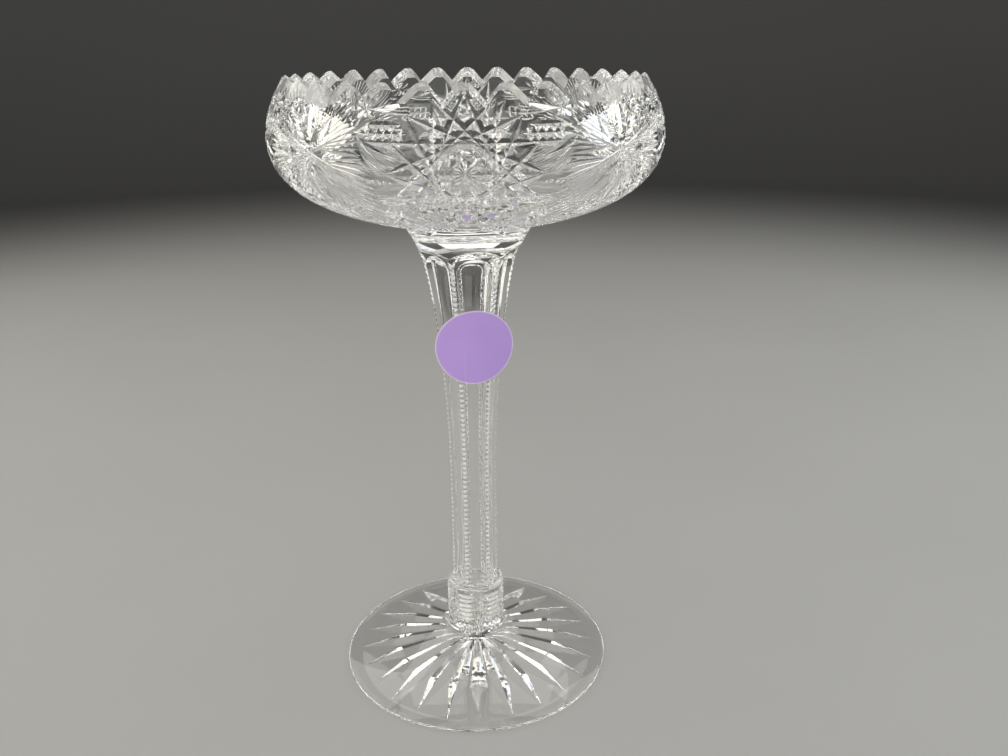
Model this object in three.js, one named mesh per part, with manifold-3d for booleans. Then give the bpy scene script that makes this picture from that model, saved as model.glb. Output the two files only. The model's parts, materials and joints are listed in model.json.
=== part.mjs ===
// A tall cut glass compote: an in-curved bowl on a hexagonal stem and a round domed foot.
// Millimetres, +Z up, with the origin on the table under the middle of the foot.
// Azimuth 0 is the front, the -Y side, and azimuths grow towards +X.
import * as THREE from "three";
import { mergeVertices } from "three/addons/utils/BufferGeometryUtils.js";
import Module from "manifold-3d";

const wasm = await Module();
wasm.setup();

// Overall sizes
const OVERALL_HEIGHT = 305;
const FOOT_RADIUS = 70.4;
const BOWL_RADIUS = 90;
const SEAM = 0.3; // left between two gathers of glass where they are fused

// Bowl
const BOWL_HEIGHT = 65.7; // from the stem's collar to the tips of the teeth
const BELLY_HEIGHT = 39.2; // from the stem's collar to the widest ring
const BOWL_SEAT_RADIUS = 32.5; // where the bowl meets the stem
const RIM_DRAW_IN = 9.4; // how far the rim stands inside the widest ring
const UNDERSIDE_SWEEP = { inside: 24, rise: 5.5 }; // where the underside starts to turn up
const BELLY_SWEEP = { below: 21.6, above: 12.4 }; // how long the belly stays upright
const BOWL_WALL = 6.5;
const BOWL_FLOOR = 9;
const RINGS_BELOW = 4; // between the seat and the ring through the middles of the hobstars
const RINGS_ABOVE = 2; // between the widest ring and the rim
const FLOOR_CORNER = 1; // the inside's wall ends this far above its floor

// Rim teeth
const RIM_TEETH = 32;
const TOOTH_ROUND = 4; // radius of a tooth's top
const TOOTH_FLANK = THREE.MathUtils.degToRad(52); // from the level
const TOOTH_STEPS = 1; // straight pieces on each side of a tooth's round top
const BOWL_SIDES = 2 * RIM_TEETH; // they meet at the middles of the teeth and gaps

// Wheel cuts on the bowl
const MOTIFS = 8; // hobstars and fan stars, in turn
const PATTERN_TURN = THREE.MathUtils.degToRad(1.5);
const HOBSTAR_RADIUS = 31;
const HOBSTAR_POINTS = 16;
const HOBSTAR_SKIP = 6; // each chord joins a point to the sixth one after it
const HOBSTAR_DROP = 35.3; // from the rim to the star's middle, along the wall
const HOB_RADIUS = 7; // the small star in the middle of a hobstar
const FAN_RADIUS = 30;
const FAN_DROP = 29;
const FAN_RAYS = 8;
const FAN_FORK = 8; // from the middle of a fan star to where its splits leave a ray
const FAN_SPLIT = THREE.MathUtils.degToRad(15);
const MITRE = { halfWidth: 2.1, depth: 1.6, hollow: false };
const SPLIT = { halfWidth: 1.1, depth: 0.9, hollow: false };
const FINE_CUT = { halfWidth: 0.9, depth: 0.8, hollow: false };
const CHORD_STEPS = 4; // straight pieces that follow the wall's curve
const RAY_STEPS = 3;
const SHORT_STEPS = 2;
const HOLLOW_STEPS = 4; // straight pieces across a hollow cut

// Stem
const STEM_SIDES = 6;
const STEM_TURN = THREE.MathUtils.degToRad(-20.7);
const SHAFT_RADIUS = 12; // to the ridges
const FLARE_LENGTH = 139; // from the straight shaft to the bowl
const FLARE_RADIUS = 23.9; // to the ridges, where the flat panels end
const FLARE_SWEEP = { low: 45.7, inside: 7.6, high: 25 };
const COLLAR_SWEEP = { outside: 3.1, rise: 8 };
const STEM_COLLAR = 15.3; // height of the round collar under the bowl
const PANEL_STEP = 4.2; // height of the slanted facet over each panel
const PANEL_STEP_REACH = 6; // how far that facet leans out
const RIDGE_LAND = 0.2; // how far the collar stands out past the ridges
const FLARE_STEPS = 8; // straight pieces that follow the flare's curve
const NOTCH_PITCH = 2.65;
const NOTCH_DEPTH = 0.65;
const NOTCH_MARGIN = 1; // plain ridge below the lowest notch
const FLUTE = { halfWidth: 4.3, depth: 1.7, hollow: true }; // on the shaft, and wider above it
const FLUTE_TOP_MARGIN = 1;
const FLUTE_ARCH = 11;
const FLUTE_STEPS = 9;
const ARCH_CROWDING = 2.2; // a flute's steps are shorter in its arch

// Collar between stem and foot
const COLLAR_HEIGHT = 29;
const COLLAR_RADIUS = 15.1;
const COLLAR_SHOULDER = 2.4; // radius of its round top edge
const COLLAR_FLARE = 5; // height over which it widens to the foot's neck
const PETAL = { halfWidth: 5.3, depth: 1.9, hollow: true };
const PETAL_LENGTH = 24;
const PETAL_POINT = 0.5; // share of its length over which a petal comes to a point
const PETAL_ARCH = 0.2; // share of its length that is the round end
const PETAL_STEPS = 6;

// Foot
const FOOT_HEIGHT = 17;
const FOOT_EDGE = 2.4; // height of the upright edge
const FOOT_SWEEP = { inside: 18, rise: 4.1, outside: 5.6, fall: 6.8 };
const FOOT_NECK_RADIUS = 16.4;
const STANDING_RING = 5.2; // width of the flat ring that the foot stands on
const FOOT_EDGE_ROUND = 1.2;
const FOOT_HOLLOW = 7.5;
const STAR_RAYS = 24;
const FOOT_SIDES = 2 * STAR_RAYS;
const STAR_TURN = THREE.MathUtils.degToRad(3);
const STAR_START = 3;
const STAR_WIDEST = 42;
const STAR_MARGIN = 1; // from a ray's tip to the standing ring
const UNDER_STEPS = 3; // straight pieces that follow the hollow under the foot
const RAY = { halfWidth: 4.8, depth: 2.3, hollow: false };

// Paper label on the stem
const LABEL_RADIUS = 19;
const LABEL_THICKNESS = 0.3;
const LABEL_HEIGHT = 180; // to its middle
const LABEL_BEND = 60; // radius that it is bent to
const LABEL_GAP = 0.4;
const LABEL_SIDES = 72; // of the round form that it is bent to

const BOWL_BASE = OVERALL_HEIGHT - BOWL_HEIGHT;
const STEM_TOP = BOWL_BASE - SEAM;
const COLLAR_BASE = FOOT_HEIGHT + SEAM;
const COLLAR_TOP = COLLAR_BASE + COLLAR_HEIGHT;
const STEM_BASE = COLLAR_TOP + SEAM;
const PANEL_TOP = STEM_TOP - STEM_COLLAR;
const CLEAR = 0.8; // how far a cutter stands out of the glass
const ROUND_SIDES = 48;
const COLLAR_SIDES = 5 * STEM_SIDES;
const CURVE_STEPS = 5; // straight pieces in the stem's collar and in the foot's top
const CORNER_STEPS = 2; // straight pieces in a rounded edge
const SAME_POINT = 1e-4; // corners nearer than this are one
const NEARBY = 0.01; // share of a cut's length over which its direction is taken
const FLATNESS = 0.05; // how far a face may stray where split faces are made whole
const BOWL_FLATNESS = 0.35; // the bowl's hundreds of cuts split its faces most

const point = (x, y) => new THREE.Vector2(x, y);
const range = (count) => Array.from({ length: count }, (_, i) => i);
const outward = (azimuth) => new THREE.Vector3(Math.sin(azimuth), -Math.cos(azimuth), 0);
const sideways = (azimuth) => new THREE.Vector3(Math.cos(azimuth), Math.sin(azimuth), 0);

// A closed three.js geometry as a solid
function solid(geometry) {
  const bare = geometry.clone();
  bare.deleteAttribute("normal");
  bare.deleteAttribute("uv");
  const merged = mergeVertices(bare, SAME_POINT);
  const corners = merged.index.array;
  const triangles = [];
  for (let i = 0; i < corners.length; i += 3) {
    const [a, b, c] = corners.slice(i, i + 3);
    if (a !== b && b !== c && c !== a) triangles.push(a, b, c);
  }
  return new wasm.Manifold(
    new wasm.Mesh({
      numProp: 3,
      vertProperties: merged.attributes.position.array,
      triVerts: new Uint32Array(triangles),
    }),
  );
}

// A solid's faces as a three.js geometry, with the flat faces that cuts have split made whole
function geometryOf(shape, flatness = FLATNESS) {
  const { vertProperties, triVerts } = shape.asOriginal().simplify(flatness).getMesh();
  const geometry = new THREE.BufferGeometry();
  geometry.setAttribute("position", new THREE.BufferAttribute(vertProperties, 3));
  geometry.setIndex(new THREE.BufferAttribute(triVerts, 1));
  return geometry.toNonIndexed();
}

// A profile of radius and height turned about the vertical axis
function turned(profile, sides, turn = 0) {
  return solid(new THREE.LatheGeometry(profile, sides, turn).rotateX(Math.PI / 2));
}

const cutAway = (shape, cutters) => cutters.reduce((left, cutter) => left.subtract(cutter), shape);

// A wheel cut along a line of a surface, V-shaped or hollow. place(x, y) gives the surface's
// point and its outward normal, and size(t) is the cut's share of its full width and depth.
function wheelCut(place, from, to, { halfWidth, depth, hollow }, size, steps) {
  const section = new THREE.Shape().moveTo(-1, 1).lineTo(-1, 0);
  if (hollow) section.quadraticCurveTo(0, -2, 1, 0);
  else section.lineTo(0, -1).lineTo(1, 0);
  section.lineTo(1, 1);
  const settings = { depth: 1, steps, curveSegments: HOLLOW_STEPS, bevelEnabled: false };
  const cutter = new THREE.ExtrudeGeometry(section, settings);
  const corners = cutter.getAttribute("position");
  const on = (t) => place(from.x + (to.x - from.x) * t, from.y + (to.y - from.y) * t);
  for (const i of range(corners.count)) {
    const t = corners.getZ(i);
    const rise = corners.getY(i);
    const middle = on(t);
    const ahead = on(Math.min(t + NEARBY, 1)).at.sub(on(Math.max(t - NEARBY, 0)).at);
    const across = ahead.cross(middle.normal).normalize().negate();
    const at = middle.at.addScaledVector(across, corners.getX(i) * halfWidth * size(t));
    at.addScaledVector(middle.normal, rise > 0 ? rise * CLEAR : rise * depth * size(t));
    corners.setXYZ(i, at.x, at.y, at.z);
  }
  return solid(cutter);
}

const lens = (t) => Math.max(1 - Math.abs(2 * t - 1) ** 3, 0);
const fading = (t) => 1 - t ** 3;
const roundEnd = (into) => Math.sqrt(1 - THREE.MathUtils.clamp(into, 0, 1) ** 2);

// The outside of the bowl, from the stem's collar up to the rim
const RIM_RADIUS = BOWL_RADIUS - RIM_DRAW_IN;
const BELLY = BOWL_BASE + BELLY_HEIGHT;
const outsideWall = new THREE.CurvePath();
outsideWall.add(
  new THREE.CubicBezierCurve(
    point(BOWL_SEAT_RADIUS, BOWL_BASE),
    point(BOWL_RADIUS - UNDERSIDE_SWEEP.inside, BOWL_BASE + UNDERSIDE_SWEEP.rise),
    point(BOWL_RADIUS, BELLY - BELLY_SWEEP.below),
    point(BOWL_RADIUS, BELLY),
  ),
);
outsideWall.add(
  new THREE.QuadraticBezierCurve(
    point(BOWL_RADIUS, BELLY),
    point(BOWL_RADIUS, BELLY + BELLY_SWEEP.above),
    point(RIM_RADIUS, OVERALL_HEIGHT),
  ),
);
const WALL_LENGTH = outsideWall.getLength();

// A place on the outside of the bowl: x along the ring and y up the wall, from a middle that
// lies at an azimuth and a distance under the rim
function bowlPlace(azimuth, drop) {
  return (x, y) => {
    const along = THREE.MathUtils.clamp((WALL_LENGTH - drop + y) / WALL_LENGTH, 0, 1);
    const spot = outsideWall.getPoint(along);
    const way = outsideWall.getTangent(along);
    const out = outward(azimuth + x / spot.x);
    return {
      at: out.clone().multiplyScalar(spot.x).setZ(spot.y),
      normal: out.multiplyScalar(way.y).setZ(-way.x),
    };
  };
}

// The bowl before it is cut
function bowlBlank() {
  const middle = 1 - HOBSTAR_DROP / WALL_LENGTH;
  const below = range(RINGS_BELOW).map((i) => (middle * i) / RINGS_BELOW);
  const belly = outsideWall.curves[0].getLength() / WALL_LENGTH;
  const above = range(RINGS_ABOVE + 1).map((i) => belly + ((1 - belly) * i) / RINGS_ABOVE);
  const outside = [...below, middle, ...above].map((along) => outsideWall.getPoint(along));
  const inside = [...below, middle, belly, 1].map((along) => {
    const spot = outsideWall.getPoint(along);
    const way = outsideWall.getTangent(along);
    return point(spot.x - way.y * BOWL_WALL, spot.y + way.x * BOWL_WALL);
  });
  const floor = BOWL_BASE + BOWL_FLOOR;
  const wall = inside.filter((spot) => spot.y > floor + FLOOR_CORNER).reverse();
  const profile = [point(0, BOWL_BASE), ...outside, ...wall, point(0, floor)];
  return turned(profile, BOWL_SIDES, PATTERN_TURN);
}

// The cutter for the gap between two rim teeth, which runs square through the wall
function rimGap(azimuth) {
  const half = RIM_RADIUS * Math.tan(Math.PI / RIM_TEETH);
  const quarter = Math.PI / 2;
  const flat = half - TOOTH_ROUND * Math.sin(TOOTH_FLANK);
  const depth = TOOTH_ROUND * (1 - Math.cos(TOOTH_FLANK)) + flat * Math.tan(TOOTH_FLANK);
  const outline = new THREE.Shape();
  outline.moveTo(-half, CLEAR);
  outline.lineTo(-half, 0);
  outline.absarc(-half, -TOOTH_ROUND, TOOTH_ROUND, quarter, quarter - TOOTH_FLANK, true);
  outline.lineTo(0, -depth);
  outline.absarc(half, -TOOTH_ROUND, TOOTH_ROUND, quarter + TOOTH_FLANK, quarter, true);
  outline.lineTo(half, CLEAR);
  const reach = BOWL_WALL + 4 * CLEAR;
  const settings = { depth: reach, bevelEnabled: false, curveSegments: TOOTH_STEPS };
  const cutter = new THREE.ExtrudeGeometry(outline, settings);
  const rim = bowlPlace(azimuth, 0)(0, 0);
  const across = sideways(azimuth);
  const up = rim.normal.clone().cross(across);
  const start = rim.at.addScaledVector(rim.normal, 2 * CLEAR - reach);
  cutter.applyMatrix4(new THREE.Matrix4().makeBasis(across, up, rim.normal).setPosition(start));
  return solid(cutter);
}

// Sixteen mitres, each a chord of the star, and a small star in the middle of them
function hobstar(azimuth) {
  const place = bowlPlace(azimuth, HOBSTAR_DROP);
  const tip = (i) => {
    const angle = Math.PI / 2 + (2 * Math.PI * i) / HOBSTAR_POINTS;
    return point(Math.cos(angle), Math.sin(angle));
  };
  const chords = range(HOBSTAR_POINTS).map((i) => {
    const from = tip(i).multiplyScalar(HOBSTAR_RADIUS);
    const to = tip(i + HOBSTAR_SKIP).multiplyScalar(HOBSTAR_RADIUS);
    return wheelCut(place, from, to, MITRE, lens, CHORD_STEPS);
  });
  const small = range(HOBSTAR_POINTS / 4).map((i) => {
    const from = tip(2 * i + 1).multiplyScalar(HOB_RADIUS);
    const to = from.clone().negate();
    return wheelCut(place, from, to, FINE_CUT, lens, SHORT_STEPS);
  });
  return [...chords, ...small];
}

// Eight long mitres from one middle, each with splits that leave it part of the way out
function fanStar(azimuth) {
  const place = bowlPlace(azimuth, FAN_DROP);
  const ray = (angle, length) => point(Math.cos(angle) * length, Math.sin(angle) * length);
  return range(FAN_RAYS).flatMap((i) => {
    const angle = (2 * Math.PI * (i + 0.5)) / FAN_RAYS;
    const fork = ray(angle, FAN_FORK);
    const end = ray(angle, FAN_RADIUS);
    const main = wheelCut(place, point(0, 0), end, MITRE, fading, RAY_STEPS);
    const splits = [-1, 1].map((side) => {
      const to = ray(angle + side * FAN_SPLIT, FAN_RADIUS);
      return wheelCut(place, fork, to, SPLIT, fading, SHORT_STEPS);
    });
    return [main, ...splits];
  });
}

function bowl() {
  const gaps = range(RIM_TEETH).map((i) => {
    return rimGap(PATTERN_TURN + (2 * Math.PI * (i + 0.5)) / RIM_TEETH);
  });
  const pattern = range(MOTIFS).flatMap((i) => {
    const azimuth = PATTERN_TURN + (2 * Math.PI * i) / MOTIFS;
    return i % 2 === 0 ? hobstar(azimuth) : fanStar(azimuth);
  });
  return cutAway(bowlBlank(), [...gaps, ...pattern]);
}

// The line of the stem's ridges: a straight shaft, and a flare up to the round collar
const flare = new THREE.CubicBezierCurve(
  point(SHAFT_RADIUS, STEM_TOP - FLARE_LENGTH),
  point(SHAFT_RADIUS, STEM_TOP - FLARE_LENGTH + FLARE_SWEEP.low),
  point(FLARE_RADIUS - FLARE_SWEEP.inside, PANEL_TOP - FLARE_SWEEP.high),
  point(FLARE_RADIUS, PANEL_TOP),
);
const ridgeSamples = [point(SHAFT_RADIUS, STEM_BASE), ...flare.getPoints(FLARE_STEPS)];

function ridgeRadius(height) {
  const above = ridgeSamples.findIndex((spot) => spot.y >= height);
  if (above < 1) return above === 0 ? SHAFT_RADIUS : FLARE_RADIUS;
  const [low, high] = [ridgeSamples[above - 1], ridgeSamples[above]];
  return THREE.MathUtils.mapLinear(height, low.y, high.y, low.x, high.x);
}

// A saw-toothed blade that notches one ridge between two heights
function notchBlade(azimuth, radiusAt, from, to) {
  const count = Math.floor((to - from) / NOTCH_PITCH);
  const reach = 4 * CLEAR;
  const outline = new THREE.Shape();
  outline.moveTo(radiusAt(from) + reach, from);
  for (const i of range(count)) {
    const peak = from + i * NOTCH_PITCH;
    const valley = peak + NOTCH_PITCH / 2;
    outline.lineTo(radiusAt(peak), peak);
    outline.lineTo(radiusAt(valley) - NOTCH_DEPTH, valley);
  }
  const end = from + count * NOTCH_PITCH;
  outline.lineTo(radiusAt(end), end);
  outline.lineTo(radiusAt(end) + reach, end);
  const width = 4 * reach;
  const blade = new THREE.ExtrudeGeometry(outline, { depth: width, bevelEnabled: false });
  const out = outward(azimuth);
  const up = new THREE.Vector3(0, 0, 1);
  const across = out.clone().cross(up);
  const start = across.clone().multiplyScalar(-width / 2);
  blade.applyMatrix4(new THREE.Matrix4().makeBasis(out, up, across).setPosition(start));
  return solid(blade);
}

// A hollow flute on one panel, as wide as the panel allows, with an arched top
function flute(azimuth) {
  const base = STEM_BASE - CLEAR;
  const top = PANEL_TOP - FLUTE_TOP_MARGIN;
  const heightAt = (t) => top - (top - base) * (1 - t) ** ARCH_CROWDING;
  const place = (x, t) => {
    const panel = ridgeRadius(heightAt(t)) * Math.cos(Math.PI / STEM_SIDES);
    return { at: outward(azimuth).multiplyScalar(panel).setZ(heightAt(t)), normal: outward(azimuth) };
  };
  const size = (t) => {
    const into = 1 - (top - heightAt(t)) / FLUTE_ARCH;
    return (ridgeRadius(heightAt(t)) / SHAFT_RADIUS) * roundEnd(into);
  };
  return wheelCut(place, point(0, 0), point(0, 1), FLUTE, size, FLUTE_STEPS);
}

function stem() {
  const step = point(FLARE_RADIUS + PANEL_STEP_REACH, PANEL_TOP + PANEL_STEP);
  const over = point(2 * BOWL_SEAT_RADIUS, STEM_TOP);
  const panels = [point(0, STEM_BASE), ...ridgeSamples, step, over, point(0, STEM_TOP)];
  const hexagon = turned(panels, STEM_SIDES, STEM_TURN);
  const collar = new THREE.QuadraticBezierCurve(
    point(FLARE_RADIUS + RIDGE_LAND, PANEL_TOP),
    point(FLARE_RADIUS + COLLAR_SWEEP.outside, PANEL_TOP + COLLAR_SWEEP.rise),
    point(BOWL_SEAT_RADIUS, STEM_TOP),
  );
  const outside = FLARE_RADIUS + PANEL_STEP_REACH;
  const below = [point(outside, STEM_BASE), point(outside, PANEL_TOP - PANEL_STEP)];
  const profile = [point(0, STEM_BASE), ...below, ...collar.getPoints(CURVE_STEPS), point(0, STEM_TOP)];
  const blank = turned(profile, ROUND_SIDES);
  const cuts = range(STEM_SIDES).flatMap((i) => {
    const ridge = STEM_TURN + (2 * Math.PI * i) / STEM_SIDES;
    const blade = notchBlade(ridge, ridgeRadius, STEM_BASE + NOTCH_MARGIN, PANEL_TOP);
    return [blade, flute(ridge + Math.PI / STEM_SIDES)];
  });
  return cutAway(hexagon.intersect(blank), cuts);
}

// A short thick ring of glass with a petal ground into it under each panel of the stem. The
// notches of the stem's ridges run on down between the petals.
function footCollar() {
  const round = new THREE.Path();
  const corner = point(COLLAR_RADIUS - COLLAR_SHOULDER, COLLAR_TOP - COLLAR_SHOULDER);
  round.absarc(corner.x, corner.y, COLLAR_SHOULDER, 0, Math.PI / 2);
  const profile = [
    point(0, COLLAR_BASE),
    point(FOOT_NECK_RADIUS, COLLAR_BASE),
    point(COLLAR_RADIUS, COLLAR_BASE + COLLAR_FLARE),
    ...round.getPoints(CORNER_STEPS),
    point(0, COLLAR_TOP),
  ];
  const place = (azimuth) => (x, y) => {
    const normal = outward(azimuth + x / COLLAR_RADIUS);
    return { at: normal.clone().multiplyScalar(COLLAR_RADIUS).setZ(y), normal };
  };
  const size = (t) => Math.min(t / PETAL_POINT, 1) * roundEnd((t - 1 + PETAL_ARCH) / PETAL_ARCH);
  const high = COLLAR_TOP - COLLAR_SHOULDER;
  const cuts = range(STEM_SIDES).flatMap((i) => {
    const ridge = STEM_TURN + (2 * Math.PI * i) / STEM_SIDES;
    const blade = notchBlade(ridge, () => COLLAR_RADIUS, COLLAR_BASE + COLLAR_FLARE, high);
    const [from, to] = [point(0, high - PETAL_LENGTH), point(0, high)];
    const azimuth = ridge + Math.PI / STEM_SIDES;
    return [blade, wheelCut(place(azimuth), from, to, PETAL, size, PETAL_STEPS)];
  });
  return cutAway(turned(profile, COLLAR_SIDES), cuts);
}

// The foot's underside is hollow between the standing ring and the middle
const RING_INNER = FOOT_RADIUS - FOOT_EDGE_ROUND - STANDING_RING;
const hollow = (radius) => FOOT_HOLLOW * (1 - (radius / RING_INNER) ** 2);

function footPlace(azimuth) {
  return (x) => {
    const out = outward(azimuth);
    const lean = (-2 * FOOT_HOLLOW * x) / RING_INNER ** 2;
    return {
      at: out.clone().multiplyScalar(x).setZ(hollow(x)),
      normal: out.multiplyScalar(lean).setZ(-1).normalize(),
    };
  };
}

function foot() {
  const under = range(UNDER_STEPS + 1).map((i) => {
    const radius = (RING_INNER * i) / UNDER_STEPS;
    return point(radius, hollow(radius));
  });
  const edge = new THREE.Path();
  edge.absarc(FOOT_RADIUS - FOOT_EDGE_ROUND, FOOT_EDGE_ROUND, FOOT_EDGE_ROUND, -Math.PI / 2, 0);
  const top = new THREE.CubicBezierCurve(
    point(FOOT_RADIUS, FOOT_EDGE),
    point(FOOT_RADIUS - FOOT_SWEEP.inside, FOOT_EDGE + FOOT_SWEEP.rise),
    point(FOOT_NECK_RADIUS + FOOT_SWEEP.outside, FOOT_HEIGHT - FOOT_SWEEP.fall),
    point(FOOT_NECK_RADIUS, FOOT_HEIGHT),
  );
  const upper = [...edge.getPoints(CORNER_STEPS), ...top.getPoints(CURVE_STEPS)];
  const profile = [...under, ...upper, point(0, FOOT_HEIGHT)];
  const tip = RING_INNER - STAR_MARGIN;
  const length = tip - STAR_START;
  const size = (t) => {
    const radius = STAR_START + t * length;
    return Math.min(radius / STAR_WIDEST, (tip - radius) / (tip - STAR_WIDEST));
  };
  const rays = range(STAR_RAYS).map((i) => {
    const place = footPlace(STAR_TURN + (2 * Math.PI * i) / STAR_RAYS);
    return wheelCut(place, point(STAR_START, 0), point(tip, 0), RAY, size, RAY_STEPS);
  });
  return cutAway(turned(profile, FOOT_SIDES, STAR_TURN), rays);
}

// A paper disc bent round the two front ridges, and leaning out with the flare
function lotSticker() {
  const onPanel = Math.cos(Math.PI / STEM_SIDES);
  const low = ridgeRadius(LABEL_HEIGHT - LABEL_RADIUS);
  const high = ridgeRadius(LABEL_HEIGHT + LABEL_RADIUS);
  const half = LABEL_RADIUS + CLEAR;
  const bent = [
    point(LABEL_BEND, -half),
    point(LABEL_BEND + LABEL_THICKNESS, -half),
    point(LABEL_BEND + LABEL_THICKNESS, half),
    point(LABEL_BEND, half),
    point(LABEL_BEND, -half),
  ];
  const stamp = new THREE.CylinderGeometry(LABEL_RADIUS, LABEL_RADIUS, LABEL_RADIUS, ROUND_SIDES);
  stamp.translate(0, -LABEL_BEND, 0);
  const sheet = geometryOf(turned(bent, LABEL_SIDES).intersect(solid(stamp)));
  const ridge = ((low + high) / 2) * Math.sin(Math.PI / STEM_SIDES);
  const bulge = ridge ** 2 / (2 * LABEL_BEND);
  sheet.translate(0, LABEL_BEND - bulge, 0);
  sheet.rotateX(Math.atan2((high - low) * onPanel, 2 * LABEL_RADIUS));
  sheet.translate(0, -LABEL_GAP - ((low + high) / 2) * onPanel, LABEL_HEIGHT);
  sheet.rotateZ(STEM_TURN + Math.PI / STEM_SIDES);
  return solid(sheet);
}

const clearGlass = new THREE.MeshStandardMaterial({
  color: 0xf3f5f0,
  roughness: 0.03,
  metalness: 0,
  transparent: true,
  opacity: 0.4,
});
const paper = new THREE.MeshStandardMaterial({ color: 0x9a7bd6, roughness: 0.75, metalness: 0 });

function piece(name, shape, material, flatness) {
  const mesh = new THREE.Mesh(geometryOf(shape, flatness), material);
  mesh.geometry.computeVertexNormals();
  mesh.name = name;
  return mesh;
}

const compote = new THREE.Group();
compote.add(
  piece("bowl", bowl(), clearGlass.clone(), BOWL_FLATNESS),
  piece("stem", stem(), clearGlass.clone()),
  piece("foot_collar", footCollar(), clearGlass.clone()),
  piece("foot", foot(), clearGlass.clone()),
  piece("lot_sticker", lotSticker(), paper),
);

export default compote;
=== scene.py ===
# %% [markdown]
# # A tall cut glass compote
# A compote is a serving bowl on a stem. This one was blown and drawn from clear lead glass,
# fused while it was hot, and then cut cold on stone wheels. Its looks are nearly all shape:
# clear glass shows only what it bends and mirrors, so every sparkle has to come from a real
# facet. A painted or bumped pattern would not bend light through the far wall, so this lesson
# cuts real grooves into real solids. The frame gives the sizes, in metres, and the origin is
# on the table under the middle of the foot.

# %% Load the frame
import json
import math

import bpy
import numpy as np
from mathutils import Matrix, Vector

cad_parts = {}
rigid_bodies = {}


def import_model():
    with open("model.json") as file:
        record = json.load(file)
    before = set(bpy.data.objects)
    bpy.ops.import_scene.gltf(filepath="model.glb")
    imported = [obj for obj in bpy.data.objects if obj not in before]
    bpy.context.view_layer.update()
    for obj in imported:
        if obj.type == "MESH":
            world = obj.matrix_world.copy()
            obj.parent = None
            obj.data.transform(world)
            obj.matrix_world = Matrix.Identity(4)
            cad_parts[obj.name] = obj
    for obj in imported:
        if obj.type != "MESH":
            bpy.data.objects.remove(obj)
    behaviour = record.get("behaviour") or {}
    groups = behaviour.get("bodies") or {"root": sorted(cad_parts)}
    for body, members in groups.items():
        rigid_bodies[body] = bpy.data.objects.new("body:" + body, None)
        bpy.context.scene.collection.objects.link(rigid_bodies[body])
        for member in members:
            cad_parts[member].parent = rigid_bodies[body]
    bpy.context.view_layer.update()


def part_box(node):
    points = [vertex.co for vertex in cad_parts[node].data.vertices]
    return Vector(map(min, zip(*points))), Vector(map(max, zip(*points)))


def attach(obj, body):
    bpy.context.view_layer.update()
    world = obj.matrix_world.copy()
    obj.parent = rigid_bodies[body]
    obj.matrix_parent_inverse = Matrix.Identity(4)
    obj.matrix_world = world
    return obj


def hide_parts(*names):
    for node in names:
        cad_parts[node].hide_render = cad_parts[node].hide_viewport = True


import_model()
MM = 0.001
bowl_low, bowl_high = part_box("bowl")
stem_low, stem_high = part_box("stem")
collar_low, collar_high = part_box("foot_collar")
foot_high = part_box("foot")[1]
print("bowl", tuple(bowl_high), "stem top", stem_high.z, "foot", foot_high.x)

# %% [markdown]
# ## Closed solids and wheel cuts
# A cutting wheel leaves a groove with a V-shaped section, or a round one, that swells to a
# widest place and runs out to a point. One way to model it is to push vertices of a dense
# grid, but a grid softens the sharp lips that make glass glitter. Instead each groove is a
# closed cutter that is bent along the surface, and a boolean takes all of them out of the
# blank at once. The manifold solver is quick and keeps every solid closed.

# %% Directions and meshes


def outward(azimuth):
    """The level direction at an azimuth: 0 is the front, and azimuths grow towards +X."""
    azimuth = np.asarray(azimuth, float)
    return np.stack([np.sin(azimuth), -np.cos(azimuth), np.zeros_like(azimuth)], -1)


def sideways(azimuth):
    """The level direction across that one, in which azimuths grow."""
    return np.array([math.cos(azimuth), math.sin(azimuth), 0])


def unit(vectors):
    """The same directions, one metre long."""
    return vectors / np.linalg.norm(vectors, axis=-1, keepdims=True)


def mesh_of(points, faces, name="form"):
    mesh = bpy.data.meshes.new(name)
    mesh.from_pydata([tuple(p) for p in points], [], faces)
    mesh.update()
    return mesh


# %% [markdown]
# Two kinds of closed form are enough for all of this glass: rings of points that are joined
# one after the other, for a cutter, and a profile turned about the axis, for a blank.

# %% Lofted and turned forms


def loft(sections):
    """A closed solid through rings of points, with a flat face at each end."""
    rows, count = sections.shape[:2]
    faces = [tuple(range(count)), tuple(reversed(range((rows - 1) * count, rows * count)))]
    for row in range(rows - 1):
        for k in range(count):
            after = (k + 1) % count
            low, high = row * count, (row + 1) * count
            faces.append((low + k, high + k, high + after, low + after))
    return mesh_of(sections.reshape(-1, 3), faces)


def turned(profile, sides, turn=0.0):
    """A profile of radius and height, from the axis round to the axis, turned about it."""
    profile = np.asarray(profile, float)
    rings = profile[1:-1]
    around = outward(turn + 2 * math.pi * np.arange(sides) / sides)
    points = [(0, 0, profile[0][1]), (0, 0, profile[-1][1])]
    for radius, height in rings:
        points += [tuple(p) for p in around * radius + (0, 0, height)]
    first, last = 2, 2 + (len(rings) - 1) * sides
    faces = []
    for k in range(sides):
        after = (k + 1) % sides
        faces.append((0, first + after, first + k))
        faces.append((1, last + k, last + after))
        for row in range(len(rings) - 1):
            low = 2 + row * sides
            high = low + sides
            faces.append((low + k, low + after, high + after, high + k))
    return mesh_of(points, faces)


# %% [markdown]
# A boolean modifier can take a whole collection of cutters at once. The faces of a cutter
# carry a material number, and the faces that it leaves in the glass keep that number. So the
# ground glass can get another finish than the blank's polished skin, which has number 0.

# %% The cutting bench
CUT_FACE, NOTCH_FACE, JOINT_FACE = 1, 2, 3


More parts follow.
